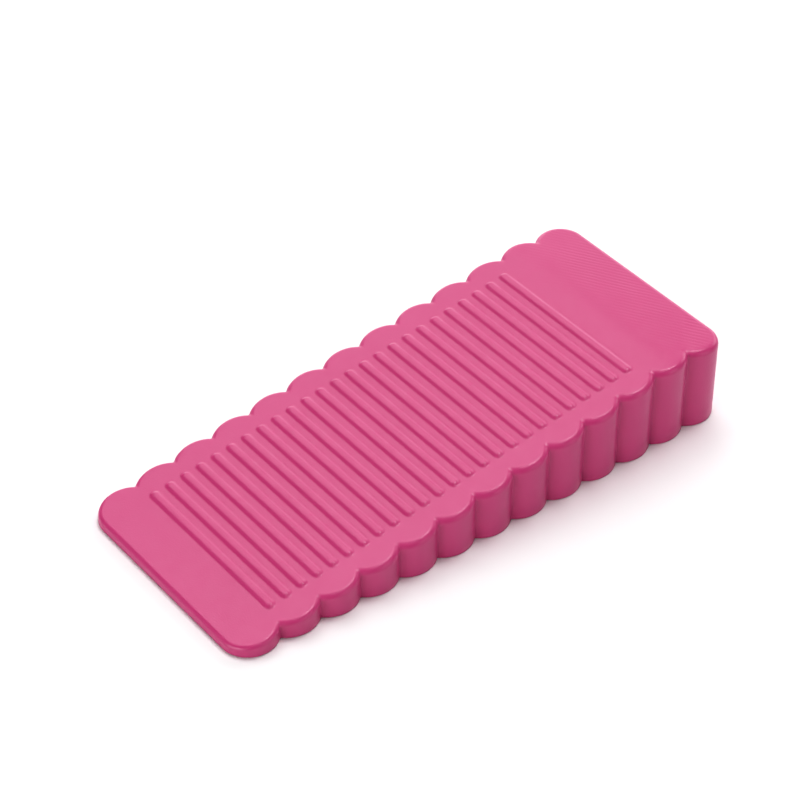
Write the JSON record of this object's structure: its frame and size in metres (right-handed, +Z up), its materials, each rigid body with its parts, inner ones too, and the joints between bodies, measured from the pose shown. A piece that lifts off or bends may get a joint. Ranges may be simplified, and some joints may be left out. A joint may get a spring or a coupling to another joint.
{
  "type": "door wedge",
  "caption": "Soft rubber door wedge: a ramp with scalloped long sides, rounded grip ribs across it and a short level top at the thick end.",
  "frame": {"origin": "on the floor, under the middle of the wedge's length and width", "axes": "+X from the thin edge to the thick end, +Y across the ramp, +Z up"},
  "size_m": [0.12, 0.0524, 0.0185],
  "materials": {
    "pink_rubber": "satin soft moulding, with a slight gloss on its rounded edges"
  },
  "bodies": {
    "root": {"wedge_body": "pink_rubber"}
  },
  "joints": []
}
